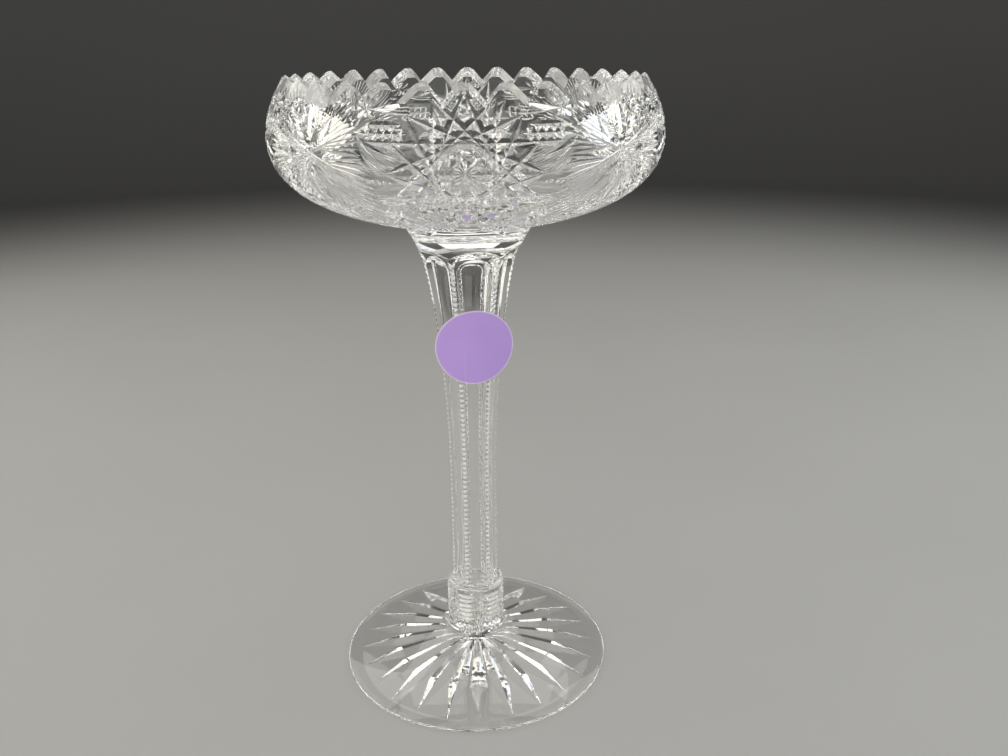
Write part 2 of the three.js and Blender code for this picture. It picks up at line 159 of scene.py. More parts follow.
def shaped(blank, tools, operation="DIFFERENCE", mark=CUT_FACE):
    """The blank with a list of cutters taken out of it. The faces they leave get a mark."""
    bench = bpy.data.collections.new("bench")
    bpy.context.scene.collection.children.link(bench)
    work = bpy.data.objects.new("work", blank)
    bpy.context.scene.collection.objects.link(work)
    for tool in tools:
        tool.polygons.foreach_set("material_index", [mark] * len(tool.polygons))
        bench.objects.link(bpy.data.objects.new("tool", tool))
    cut = work.modifiers.new("cut", "BOOLEAN")
    cut.operation = operation
    cut.operand_type = "COLLECTION"
    cut.collection = bench
    cut.solver = "MANIFOLD"
    seen = work.evaluated_get(bpy.context.evaluated_depsgraph_get())
    made = bpy.data.meshes.new_from_object(seen)
    for thing in [*bench.objects, work]:
        bpy.data.objects.remove(thing)
    bpy.data.collections.remove(bench)
    return made


# %% [markdown]
# ## One groove
# A mitre wheel leaves a V, a round wheel a shallow hollow, and a broad one a trough with steep
# sides. The section is drawn once, scaled by a size that changes along the cut, and laid
# across the surface at each step. Its upper points stand clear of the glass, because a
# boolean goes wrong where two faces lie in one plane.

# %% A wheel cut bent along a surface
CLEAR = 0.8 * MM  # how far a cutter stands out of the glass
LEAST = 0.03  # a groove's share of its full size at its very tip
GLANCE = 0.01  # the share of a cut over which its direction is taken
V_CUT = np.array([(-1, 1), (-1, 0), (0, -1), (1, 0), (1, 1)], float)
ACROSS = np.linspace(-1, 1, 13)
HOLLOW_CUT = np.array([(-1, 1), *zip(ACROSS, ACROSS**2 - 1), (1, 1)], float)
TROUGH_CUT = np.array([(-1, 1), *zip(ACROSS, -np.sqrt(1 - ACROSS**4)), (1, 1)], float)


def lens(t):
    """A groove that is widest in its middle and comes to a point at both ends."""
    return 1 - np.abs(2 * t - 1) ** 3


def fading(t):
    """A groove that starts at full size and runs out to a point."""
    return 1 - t**3


def wheel_cut(place, start, end, half_width, depth, size=lens, steps=12, section=V_CUT):
    """A cutter for one groove. place(x, y) gives points of a surface and outward normals."""
    t = np.linspace(0, 1, steps + 1)
    start, end = np.array(start, float), np.array(end, float)
    here, normal = place(*(start + np.outer(t, end - start)).T)
    ahead, _ = place(*(start + np.outer(np.minimum(t + GLANCE, 1), end - start)).T)
    behind, _ = place(*(start + np.outer(np.maximum(t - GLANCE, 0), end - start)).T)
    across = unit(np.cross(ahead - behind, normal))
    share = np.maximum(size(t), LEAST)
    rings = []
    for x, y in section:
        rise = CLEAR * np.ones_like(t) if y > 0 else y * depth * share
        rings.append(here + across * (x * half_width * share)[:, None] + normal * rise[:, None])
    return loft(np.stack(rings, 1))


# %% [markdown]
# ## The bowl's outline
# The bowl is shallow and its rim turns in a little. Its outside is one smooth sweep from the
# stem to the belly, and a tighter one from the belly to the rim. The pattern is marked out on
# that skin before it is cut, so the places of all cuts are given as a distance round the ring
# and a distance up the wall, as if the skin were unrolled.

# %% The wall and places on it
BOWL_BASE = bowl_low.z
RIM_HEIGHT = bowl_high.z + 0.15 * MM
BOWL_RADIUS = bowl_high.x
BELLY_HEIGHT = BOWL_BASE + 39.2 * MM
SEAT_RADIUS = 32.5 * MM
RIM_RADIUS = BOWL_RADIUS - 9.4 * MM
WALL = 6.5 * MM
FLOOR = 9 * MM


def bezier(corners, count):
    """Points along a Bezier curve, by repeated halving between its corners."""
    t = np.linspace(0, 1, count)[:, None, None]
    level = np.repeat(np.asarray(corners, float)[None], count, 0)
    while level.shape[1] > 1:
        level = level[:, :-1] * (1 - t) + level[:, 1:] * t
    return level[:, 0]


under = bezier(
    [
        (SEAT_RADIUS, BOWL_BASE),
        (BOWL_RADIUS - 24 * MM, BOWL_BASE + 5.5 * MM),
        (BOWL_RADIUS, BELLY_HEIGHT - 21.6 * MM),
        (BOWL_RADIUS, BELLY_HEIGHT),
    ],
    count=200,
)
over = bezier(
    [
        (BOWL_RADIUS, BELLY_HEIGHT),
        (BOWL_RADIUS, BELLY_HEIGHT + 12.4 * MM),
        (RIM_RADIUS, RIM_HEIGHT),
    ],
    count=100,
)
wall_line = np.vstack([under, over[1:]])
wall_way = np.concatenate([[0], np.cumsum(np.hypot(*np.diff(wall_line, axis=0).T))])
WALL_LENGTH = wall_way[-1]
print("the wall is", round(WALL_LENGTH / MM, 1), "mm from the stem to the rim")


def on_wall(way):
    """Radius, height and outward lean of the wall at a distance up it."""
    way = np.clip(way, 0, WALL_LENGTH)
    radius = np.interp(way, wall_way, wall_line[:, 0])
    height = np.interp(way, wall_way, wall_line[:, 1])
    step = 0.2 * MM
    above, below = np.minimum(way + step, WALL_LENGTH), np.maximum(way - step, 0)
    run, rise = [
        np.interp(above, wall_way, line) - np.interp(below, wall_way, line) for line in wall_line.T
    ]
    length = np.hypot(rise, run)
    return radius, height, rise / length, -run / length


def bowl_place(azimuth, drop):
    """Places round a middle that lies at an azimuth and a distance below the rim."""

    def place(x, y):
        radius, height, out, up = on_wall(WALL_LENGTH - drop + np.asarray(y, float))
        level = outward(azimuth + np.asarray(x, float) / radius)
        points = level * radius[:, None] + np.outer(height, (0, 0, 1))
        return points, level * out[:, None] + np.outer(up, (0, 0, 1))

    return place


# %% [markdown]
# ## The bowl's blank
# The inside follows the outside at the wall's thickness, down to a flat floor with a soft
# corner. It takes many sides, because clear glass shows every facet of a coarse circle.

# %% The bowl's blank
PATTERN_TURN = math.radians(1.5)
RINGS = 90
SIDES = 256
FLOOR_CORNER = 1.2 * MM
INSIDE_START = 8 * MM  # the innermost ring of the floor
ways = np.linspace(0, WALL_LENGTH, RINGS)
radius, height, out, up = on_wall(ways)
outside = np.stack([radius, height], 1)
inside = np.stack([radius - out * WALL, height - up * WALL], 1)
inside_floor = BOWL_BASE + FLOOR
ease = np.maximum(inside[:, 1] - inside_floor, 0)
inside[:, 1] = inside_floor + np.hypot(ease, FLOOR_CORNER) - FLOOR_CORNER
inner = inside[inside[:, 0] > INSIDE_START][::-2]
profile = [(0, BOWL_BASE), *outside, *inner, (0, inside_floor)]
bowl_blank = turned(profile, SIDES, PATTERN_TURN)
print("the bowl's blank has", len(bowl_blank.polygons), "faces")

# %% [markdown]
# ## The rim's teeth
# Thirty-two teeth with round tops, cut through the whole wall from the outside, so each gap
# runs square to the wall and shows a broad bright flank. The gap is drawn flat and pushed
# through the wall.

# %% The gaps between the teeth
TEETH = 32
TOOTH_ROUND = 4 * MM
FLANK = math.radians(52)


def rim_gap(azimuth):
    """A cutter for the gap between two teeth: their rounded sides and a V below them."""
    half = RIM_RADIUS * math.tan(math.pi / TEETH)
    level = half - TOOTH_ROUND * math.sin(FLANK)
    depth = TOOTH_ROUND * (1 - math.cos(FLANK)) + level * math.tan(FLANK)
    turns = np.linspace(0, FLANK, 9)
    left = [(-half + TOOTH_ROUND * math.sin(a), TOOTH_ROUND * (math.cos(a) - 1)) for a in turns]
    right = [(-x, y) for x, y in reversed(left)]
    outline = [(-half, CLEAR), *left, (0, -depth), *right, (half, CLEAR)]
    points, normals = bowl_place(azimuth, 0)(np.zeros(1), np.zeros(1))
    level_way = sideways(azimuth)
    up_way = np.cross(normals[0], level_way)
    sections = []
    for reach in (2 * CLEAR, -WALL - 2 * CLEAR):
        start = points[0] + normals[0] * reach
        sections.append([start + level_way * x + up_way * y for x, y in outline])
    return loft(np.array(sections))


gaps = [rim_gap(PATTERN_TURN + 2 * math.pi * (i + 0.5) / TEETH) for i in range(TEETH)]
print("a tooth is", round(2 * math.pi * RIM_RADIUS / TEETH / MM, 1), "mm wide")

# %% [markdown]
# ## The hobstars
# A hobstar is a star of long mitre cuts. Sixteen marks go round a circle and each is joined
# to the sixth mark after it, so the mitres cross five times and leave rows of small pyramids
# between them. They miss the middle, and the round button that is left there, the hob,
# carries a fine star of its own with a ring of still smaller stars. At the top and the
# bottom, the skin between two points of the large star is crossed with fine cuts.

# %% The hobstar's cuts
HOBSTAR_RADIUS = 31 * MM
HOBSTAR_POINTS = 16
HOBSTAR_SKIP = 6
HOBSTAR_DROP = 35.3 * MM
MITRE = (2.1 * MM, 1.6 * MM)  # half width and depth
FINE = (0.9 * MM, 0.8 * MM)
HAIR = (0.6 * MM, 0.6 * MM)
HOB_RADIUS = 5.6 * MM
HOB_LINES = 8
HOB_STARS = 8
HOB_STAR_RING = 8.4 * MM
HOB_STAR_RADIUS = 2.8 * MM
HOB_STAR_LINES = 4
CROSSED_GAPS = (0, -1, 6, 7, 8, 9)  # between two points, counted from the topmost one
CROSSED_RING = 29 * MM
CROSSED_SIZE = (3.6 * MM, 4.2 * MM)
CROSSED_PITCH = 1.5 * MM
LEAST_CHORD = 0.1  # squared share of a patch's width, under which a crossed cut is left out


def ray(angle, length, middle=(0, 0)):
    """The place at a length and an angle from a middle, on the unrolled skin."""
    return (middle[0] + math.cos(angle) * length, middle[1] + math.sin(angle) * length)


def small_star(place, middle, radius, lines, cut, steps=2):
    """Lines through one middle."""
    cuts = []
    for i in range(lines):
        angle = math.pi * i / lines
        ends = ray(angle, radius, middle), ray(angle + math.pi, radius, middle)
        cuts.append(wheel_cut(place, *ends, *cut, steps=steps))
    return cuts


def crossed(place, middle, size, pitch, cut, turn):
    """Two sets of parallel cuts across an oval patch of half a width and half a height."""
    cuts = []
    reach = max(size)
    count = int(reach / pitch)
    for way in (turn - math.pi / 4, turn + math.pi / 4):
        along = np.array([math.cos(way), math.sin(way)]) / size
        for k in range(-count, count + 1):
            offset = np.array(ray(way + math.pi / 2, k * pitch)) / size
            a, b, c = along @ along, along @ offset, offset @ offset - 1
            room = b * b - a * c
            if room > LEAST_CHORD * a:
                low, high = (-b - math.sqrt(room)) / a, (-b + math.sqrt(room)) / a
                start = ray(way + math.pi / 2, k * pitch, middle)
                ends = ray(way, low, start), ray(way, high, start)
                cuts.append(wheel_cut(place, *ends, *cut, steps=4))
    return cuts


def hobstar(azimuth):
    place = bowl_place(azimuth, HOBSTAR_DROP)
    cuts = []
    for i in range(HOBSTAR_POINTS):
        angle = math.pi / 2 + 2 * math.pi * i / HOBSTAR_POINTS
        across = angle + 2 * math.pi * HOBSTAR_SKIP / HOBSTAR_POINTS
        ends = ray(angle, HOBSTAR_RADIUS), ray(across, HOBSTAR_RADIUS)
        cuts.append(wheel_cut(place, *ends, *MITRE, steps=20))
    cuts += small_star(place, (0, 0), HOB_RADIUS, HOB_LINES, FINE, steps=4)
    for i in range(HOB_STARS):
        middle = ray(2 * math.pi * (i + 0.5) / HOB_STARS, HOB_STAR_RING)
        cuts += small_star(place, middle, HOB_STAR_RADIUS, HOB_STAR_LINES, HAIR)
    for gap in CROSSED_GAPS:
        half_way = math.pi / 2 + 2 * math.pi * (gap + 0.5) / HOBSTAR_POINTS
        middle = ray(half_way, CROSSED_RING)
        cuts += crossed(place, middle, CROSSED_SIZE, CROSSED_PITCH, HAIR, half_way)
    return cuts


print("a hobstar is", round(2 * HOBSTAR_RADIUS / MM), "mm across")

# %% [markdown]
# ## The fan stars
# Between the hobstars stand stars of eight long mitres from one middle. A little way out each
# of them splits into a fan of finer cuts, which run as far as the long one does and nearly
# meet the next fan, so that hardly any skin is left plain. The lower rays are longer,
# because the bowl's underside gives them room.

# %% The fan star's cuts
FAN_RADIUS = 30 * MM
FAN_DROP = 29 * MM
FAN_RAYS = 8
FAN_FORK = 6 * MM
LOWER_REACH = 0.4  # how much longer a ray is that points straight down
SPLIT = (1.1 * MM, 0.95 * MM)
SPLIT_ANGLES = (5.5, 11, 16.5, 21.5)


def swelling(t):
    """A groove that starts as a point, is widest at two thirds and runs out again."""
    return np.sin(math.pi * t**1.6)


def fan_star(azimuth):
    place = bowl_place(azimuth, FAN_DROP)
    cuts = []

    def tip(angle):
        return ray(angle, FAN_RADIUS * (1 + LOWER_REACH * max(-math.sin(angle), 0)))

    for i in range(FAN_RAYS):
        angle = 2 * math.pi * (i + 0.5) / FAN_RAYS
        cuts.append(wheel_cut(place, (0, 0), tip(angle), *MITRE, fading, steps=12))
        fork = ray(angle, FAN_FORK)
        for degrees in SPLIT_ANGLES:
            for side in (-1, 1):
                end = tip(angle + side * math.radians(degrees))
                cuts.append(wheel_cut(place, fork, end, *SPLIT, swelling, steps=10))
    return cuts


print("a fan star takes", FAN_RAYS * (1 + 2 * len(SPLIT_ANGLES)), "cuts")

# %% [markdown]
# ## The small cuts between the stars
# Little of the skin is left plain. On either side of a hobstar stand a small star near the
# rim, whose level rays run on to the hobstar, and a band of level and upright cuts, which
# leave square points. Below them sit a patch of crossed cuts and a short fan. One function
# cuts both sides, and a sign turns the left side into the right one.

# %% Small stars, crossed cuts and fans
STAR_ASIDE = math.radians(25.3)  # from the middle of the nearest hobstar
STAR_DROP = 11 * MM
STAR_REACHES = {45: 6, 90: 5.5, 135: 6, 180: 8, 225: 5, 270: 3.5, 315: 4.5}  # degrees: mm
LEVEL_RAYS = (-5, 0, 5)
LEVEL_REACH = 18.5 * MM
BAND_ASIDE = math.radians(20.2)
BAND_DROP = 20 * MM
BAND_SIZE = (10.2 * MM, 5 * MM)
BAND_PITCH = 3.3 * MM
SQUARE = (1.4 * MM, 1.1 * MM)
PATCH_ASIDE = math.radians(22.5)
PATCH_DROP = 59 * MM
PATCH_SIZE = (6 * MM, 6 * MM)
PATCH_PITCH = 1.9 * MM
SHORT_FAN_DROP = 66 * MM
SHORT_FAN_REACH = 17 * MM
SHORT_FAN_CUTS = 7
SHORT_FAN_SPREAD = math.radians(80)


def short_fan(place, middle):
    """A fan of short cuts that opens downwards."""
    cuts = []
    for k in range(SHORT_FAN_CUTS):
        angle = SHORT_FAN_SPREAD * (k / (SHORT_FAN_CUTS - 1) - 0.5) - math.pi / 2
        end = ray(angle, SHORT_FAN_REACH, middle)
        cuts.append(wheel_cut(place, middle, end, *SPLIT, swelling, steps=5))
    return cuts


def level_star(azimuth, side):
    """A small star at one side of a hobstar. Its long rays point to the hobstar."""
    place = bowl_place(azimuth + side * STAR_ASIDE, STAR_DROP)
    reaches = [(math.radians(degrees), length * MM) for degrees, length in STAR_REACHES.items()]
    reaches += [(math.radians(degrees), LEVEL_REACH) for degrees in LEVEL_RAYS]
    cuts = []
    for angle, length in reaches:
        x, y = ray(angle, length)
        cuts.append(wheel_cut(place, (0, 0), (-side * x, y), *SPLIT, swelling, steps=8))
    return cuts


def beside(azimuth, side):
    """The cuts at one side of a hobstar."""
    cuts = level_star(azimuth, side)
    band = bowl_place(azimuth + side * BAND_ASIDE, BAND_DROP)
    cuts += crossed(band, (0, 0), BAND_SIZE, BAND_PITCH, SQUARE, math.pi / 4)
    place = bowl_place(azimuth + side * PATCH_ASIDE, 0)
    cuts += crossed(place, (0, -PATCH_DROP), PATCH_SIZE, PATCH_PITCH, FINE, 0)
    return cuts + short_fan(place, (0, -SHORT_FAN_DROP))


print("the squares beside a hobstar are", round(BAND_PITCH / MM, 1), "mm apart")

# %% [markdown]
# ## The underside
# Seen from the front, the bowl's underside is a glitter of small facets: short rays round the
# stem, and lace-like crossed cuts outside them. The photograph doesn't show where each facet
# lies, so both are laid out evenly, at the size of the real ones.

# %% Short rays and lace
SEAT_RAYS = 48
SEAT_RAY_CUT = (1.7 * MM, 1.2 * MM)
SEAT_RAY_ENDS = (0, 1.5 * MM), (0, 17 * MM)
LACE_BLOCKS = 16
LACE_RISE = 24 * MM
LACE_SIZE = (7.5 * MM, 6.5 * MM)
LACE_PITCH = 3.0 * MM


def seat_ray(azimuth):
    """A short cut that runs outward from the stem."""
    place = bowl_place(azimuth, WALL_LENGTH)
    return wheel_cut(place, *SEAT_RAY_ENDS, *SEAT_RAY_CUT, swelling, steps=8)


def lace(azimuth):
    """A block of crossed cuts on the underside, outside the short rays."""
    place = bowl_place(azimuth, WALL_LENGTH - LACE_RISE)
    return crossed(place, (0, 0), LACE_SIZE, LACE_PITCH, SPLIT, 0)


under_cuts = [seat_ray(PATTERN_TURN + 2 * math.pi * i / SEAT_RAYS) for i in range(SEAT_RAYS)]
for i in range(LACE_BLOCKS):
    under_cuts += lace(PATTERN_TURN + 2 * math.pi * (i + 0.5) / LACE_BLOCKS)
print("the underside takes", len(under_cuts), "cuts")

# %% [markdown]
# ## The cut bowl
# Eight even divisions go round the wall, with a hobstar and a fan star in turn. One boolean
# takes everything out of the blank at once, so the solver runs only once on this large mesh.

# %% Cutting the bowl
DIVISIONS = 8
tools = gaps + under_cuts
for i in range(DIVISIONS):
    azimuth = PATTERN_TURN + 2 * math.pi * i / DIVISIONS
    if i % 2 == 0:
        tools += hobstar(azimuth) + beside(azimuth, -1) + beside(azimuth, 1)
    else:
        tools += fan_star(azimuth)
bowl_mesh = shaped(bowl_blank, tools)
print("the bowl took", len(tools), "cuts and has", len(bowl_mesh.polygons), "faces")

# %% [markdown]
# ## The stem
# The stem is a six-sided column that flares to a round collar under the bowl. Each panel has a
# hollow flute with an arched top, and each ridge is notched like a saw blade. A lathe cannot
# make flat panels, so the six corners are drawn at every height, and the collar's roundness
# comes from keeping only what lies inside a turned form.

# %% The stem's column
STEM_SIDES = 6
STEM_TURN = math.radians(-20.7)
SHAFT_RADIUS = 12 * MM
STEM_BASE = stem_low.z
STEM_TOP = stem_high.z
FLARE_BASE = STEM_TOP - 139 * MM
PANEL_TOP = STEM_TOP - 14.3 * MM
FLARE_RADIUS = 23.9 * MM
STEP_OUT = 6 * MM  # above the panels, the column steps out past the round collar
STEP_UP = 4.2 * MM
flare = bezier(
    [
        (SHAFT_RADIUS, FLARE_BASE),
        (SHAFT_RADIUS, FLARE_BASE + 45.7 * MM),
        (FLARE_RADIUS - 7.6 * MM, PANEL_TOP - 25 * MM),
        (FLARE_RADIUS, PANEL_TOP),
    ],
    count=60,
)
ridge_line = np.vstack([[(SHAFT_RADIUS, STEM_BASE)], flare])
apothem = math.cos(math.pi / STEM_SIDES)


def ridge_radius(height):
    """How far a corner of the column stands from the axis."""
    return np.interp(height, ridge_line[:, 1], ridge_line[:, 0])


reach = FLARE_RADIUS + STEP_OUT
corner_line = [
    (0, STEM_BASE),
    *ridge_line,
    (reach, PANEL_TOP + STEP_UP),
    (2 * SEAT_RADIUS, STEM_TOP),
    (0, STEM_TOP),
]
column = turned(corner_line, STEM_SIDES, STEM_TURN)
collar_line = bezier(
    [
        (FLARE_RADIUS + 0.2 * MM, PANEL_TOP),
        (FLARE_RADIUS + 3.1 * MM, PANEL_TOP + 8 * MM),
        (SEAT_RADIUS, STEM_TOP),
    ],
    count=24,
)
round_line = [
    (0, STEM_BASE),
    (reach, STEM_BASE),
    (reach, PANEL_TOP - STEP_UP),
    *collar_line,
    (0, STEM_TOP),
]
stem_blank = shaped(column, [turned(round_line, SIDES)], "INTERSECT")
print("the stem's blank has", len(stem_blank.polygons), "faces")

# %% [markdown]
# ## Flutes and notches
# The flutes are ground first, each with one broad trough that widens with the flare. Then
# every ridge gets a row of notches. They could be cut one by one, but a blade with saw teeth
# that lies along the ridge takes them all in one go. The notches get their own face number,
# because their flanks are left silky and look almost white.

# %% The saw-toothed ridges and the flutes
NOTCH_PITCH = 2.65 * MM
NOTCH_DEPTH = 0.95 * MM
NOTCH_START = STEM_BASE + 1 * MM
FLUTE = (4.8 * MM, 1.9 * MM)
FLUTE_ARCH = 8 * MM  # how long the arched top of a flute is
FLUTE_TOP = PANEL_TOP - 0.4 * MM
FLUTE_STEPS = 140


def notch_blade(azimuth, radius_at, start, end):
    """A blade with saw teeth that lies along a ridge and reaches across it."""
    count = int((end - start) / NOTCH_PITCH)
    reach = 3 * MM
    outline = [(radius_at(start) + reach, start)]
    for i in range(count):
        peak = start + i * NOTCH_PITCH
        valley = peak + NOTCH_PITCH / 2
        outline += [(radius_at(peak), peak), (radius_at(valley) - NOTCH_DEPTH, valley)]
    last = start + count * NOTCH_PITCH
    outline += [(radius_at(last), last), (radius_at(last) + reach, last)]
    out_way, side_way = outward(azimuth), sideways(azimuth)
    sections = []
    for side in (2 * reach, -2 * reach):
        sections.append([out_way * r + (0, 0, z) + side_way * side for r, z in outline])
    return loft(np.array(sections, float))


def flute(azimuth):
    """The hollow along one panel. It is cut square at its foot and arched at its top."""
    base = STEM_BASE - CLEAR
    out_way, side_way = outward(azimuth), sideways(azimuth)

    def place(x, y):
        panel = ridge_radius(y) * apothem
        points = np.outer(panel, out_way) + np.outer(x, side_way) + np.outer(y, (0, 0, 1))
        return points, np.repeat(out_way[None], len(points), 0)

    def size(t):
        height = base + (FLUTE_TOP - base) * t
        into = np.clip(1 - (FLUTE_TOP - height) / FLUTE_ARCH, 0, 1)
        return ridge_radius(height) / SHAFT_RADIUS * np.sqrt(1 - into**2)

    ends = (0, base), (0, FLUTE_TOP)
    return wheel_cut(place, *ends, *FLUTE, size, steps=FLUTE_STEPS, section=TROUGH_CUT)


ridges = [STEM_TURN + 2 * math.pi * i / STEM_SIDES for i in range(STEM_SIDES)]
fluted = shaped(stem_blank, [flute(ridge + math.pi / STEM_SIDES) for ridge in ridges])
blades = [notch_blade(ridge, ridge_radius, NOTCH_START, PANEL_TOP) for ridge in ridges]
stem_mesh = shaped(fluted, blades, mark=NOTCH_FACE)
print("the stem has", len(stem_mesh.polygons), "faces")

# %% [markdown]
# ## The collar
# A short thick button of glass joins the stem to the foot. Its blank is turned, with a
# rounded shoulder and a neck that spreads where it meets the foot.

# %% The collar's blank
COLLAR_RADIUS = 15.1 * MM
SHOULDER = 2.4 * MM
NECK_RADIUS = 16.4 * MM
COLLAR_BASE = collar_low.z
COLLAR_TOP = collar_high.z
SHOULDER_BASE = COLLAR_TOP - SHOULDER  # where the upright side ends
COLLAR_SIDES = 96
turns = np.linspace(0, math.pi / 2, 9)
shoulder = [
    (COLLAR_RADIUS - SHOULDER * (1 - math.cos(a)), COLLAR_TOP - SHOULDER * (1 - math.sin(a)))
    for a in turns
]
neck = bezier(
    [
        (NECK_RADIUS, COLLAR_BASE),
        (COLLAR_RADIUS, COLLAR_BASE + 2 * MM),
        (COLLAR_RADIUS, COLLAR_BASE + 5 * MM),
    ],
    count=8,
)
collar_blank = turned([(0, COLLAR_BASE), *neck, *shoulder, (0, COLLAR_TOP)], COLLAR_SIDES)
print("the collar is", round((COLLAR_TOP - COLLAR_BASE) / MM, 1), "mm high")

# %% [markdown]
# A petal is ground into the collar under each panel. The notches of the ridges run on down
# between the petals, and a belt of crossed cuts lies below them. All of it is laid out on the
# collar's upright side, as the bowl's pattern is on the wall.

# %% Petals, belt and notches
PETAL = (5.3 * MM, 1.9 * MM)
PETAL_LENGTH = 24 * MM
PETAL_SWELL = 0.5  # share of its length over which a petal widens
PETAL_ARCH = 0.2  # share of its length that its arched top takes
BELT_RISE = 5.5 * MM
BELT_SIZE = (7.6 * MM, 4.6 * MM)
BELT_PITCH = 2.1 * MM
BELT_CUT = (1.05 * MM, 0.9 * MM)
NOTCH_ABOVE_BELT = 4 * MM  # from the belt's middle to the lowest notch


def collar_place(azimuth, middle=0.0):
    """Places on the collar's upright side, round a middle at an azimuth and a height."""

    def place(x, y):
        level = outward(azimuth + np.asarray(x, float) / COLLAR_RADIUS)
        return level * COLLAR_RADIUS + np.outer(middle + y, (0, 0, 1)), level

    return place


def petal(azimuth):
    """A round hollow that starts as a point and ends in an arch under the shoulder."""

    def size(t):
        into = np.clip((t - 1 + PETAL_ARCH) / PETAL_ARCH, 0, 1)
        return np.minimum(t / PETAL_SWELL, 1) * np.sqrt(1 - into**2)

    place = collar_place(azimuth)
    ends = (0, SHOULDER_BASE - PETAL_LENGTH), (0, SHOULDER_BASE)
    return wheel_cut(place, *ends, *PETAL, size, steps=40, section=HOLLOW_CUT)


def collar_belt(azimuth):
    """Crossed cuts low down on the collar, under the notches of one ridge."""
    place = collar_place(azimuth, COLLAR_BASE + BELT_RISE)
    return crossed(place, (0, 0), BELT_SIZE, BELT_PITCH, BELT_CUT, 0)


petals = [petal(ridge + math.pi / STEM_SIDES) for ridge in ridges]
for ridge in ridges:
    petals += collar_belt(ridge)
span = COLLAR_BASE + BELT_RISE + NOTCH_ABOVE_BELT, SHOULDER_BASE
blades = [notch_blade(ridge, lambda height: COLLAR_RADIUS, *span) for ridge in ridges]
collar_mesh = shaped(shaped(collar_blank, petals), blades, mark=NOTCH_FACE)
print("the collar has", len(collar_mesh.polygons), "faces")

# %% [markdown]
# ## The foot
# The foot is a flat dome. Its top is left plain, and the star that shows through it is cut
# into the underside, which is hollowed so that only a narrow ring stands on the table.

# %% The foot's blank
FOOT_RADIUS = foot_high.x
FOOT_HEIGHT = foot_high.z
EDGE_ROUND = 1.2 * MM
RING_INNER = FOOT_RADIUS - EDGE_ROUND - 5.2 * MM
FOOT_HOLLOW = 7.5 * MM
FOOT_SIDES = 240
STAR_TURN = math.radians(3)


def hollow(radius):
    """The height of the underside at a distance from the axis."""
    return FOOT_HOLLOW * (1 - (radius / RING_INNER) ** 2)


radii = np.linspace(0, RING_INNER, 40)
underside = list(zip(radii, hollow(radii)))
turns = np.linspace(-math.pi / 2, 0, 7)
edge = [
    (FOOT_RADIUS - EDGE_ROUND * (1 - math.cos(a)), EDGE_ROUND * (1 + math.sin(a))) for a in turns
]
dome = bezier(
    [
        (FOOT_RADIUS, 2.4 * MM),
        (FOOT_RADIUS - 18 * MM, 6.5 * MM),
        (NECK_RADIUS + 5.6 * MM, FOOT_HEIGHT - 6.8 * MM),
        (NECK_RADIUS, FOOT_HEIGHT),
    ],
    count=60,
)
foot_blank = turned([*underside, *edge, *dome, (0, FOOT_HEIGHT)], FOOT_SIDES, STAR_TURN)
print("the foot's standing ring is", round((FOOT_RADIUS - RING_INNER) / MM, 1), "mm wide")

# %% [markdown]
# The star has 24 rays. Each is a deep mitre that starts near the middle, is widest two thirds
# of the way out and ends in a point inside the ring. Neighbouring rays nearly meet over most
# of their length, so little of the underside stays plain.

# %% The foot's star
STAR_RAYS = 24
STAR_START = 3 * MM
STAR_WIDEST = 42 * MM
STAR_END = RING_INNER - 1 * MM
RAY_CUT = (4.8 * MM, 3.2 * MM)


def star_ray(azimuth):
    """One ray. Its place function takes the distance from the axis first."""
    out_way = outward(azimuth)

    def place(x, y):
        x = np.asarray(x, float)
        lean = -2 * FOOT_HOLLOW * x / RING_INNER**2
        points = np.outer(x, out_way) + np.outer(hollow(x), (0, 0, 1))
        return points, unit(np.outer(lean, out_way) - np.array([0, 0, 1]))

    def size(t):
        radius = STAR_START + t * (STAR_END - STAR_START)
        return np.minimum(radius / STAR_WIDEST, (STAR_END - radius) / (STAR_END - STAR_WIDEST))

    return wheel_cut(place, (STAR_START, 0), (STAR_END, 0), *RAY_CUT, size, steps=30)


rays = [star_ray(STAR_TURN + 2 * math.pi * i / STAR_RAYS) for i in range(STAR_RAYS)]
foot_mesh = shaped(foot_blank, rays)
print("the foot has", len(foot_mesh.polygons), "faces")

# %% [markdown]
# ## The paper label
# A round paper label is stuck over the two front ridges. It bridges the flute between them,
# leans with the flare and is bent about an upright line. It could be a disc that is shrunk
# onto the stem, but paper doesn't stretch, so a flat disc is bent by a formula instead. Each
# point keeps its place on the flat disc, for the paper's finish.

# %% The label's sheet
LABEL_RADIUS = 19 * MM
LABEL_HEIGHT = 180 * MM
LABEL_BEND = 60 * MM
LABEL_THICK = 0.25 * MM
LABEL_LIFT = 0.42 * MM
LABEL_SIDES = 96
LABEL_SHARES = [*np.linspace(0, 0.97, 24), 1.0]  # its rings, as shares of the radius


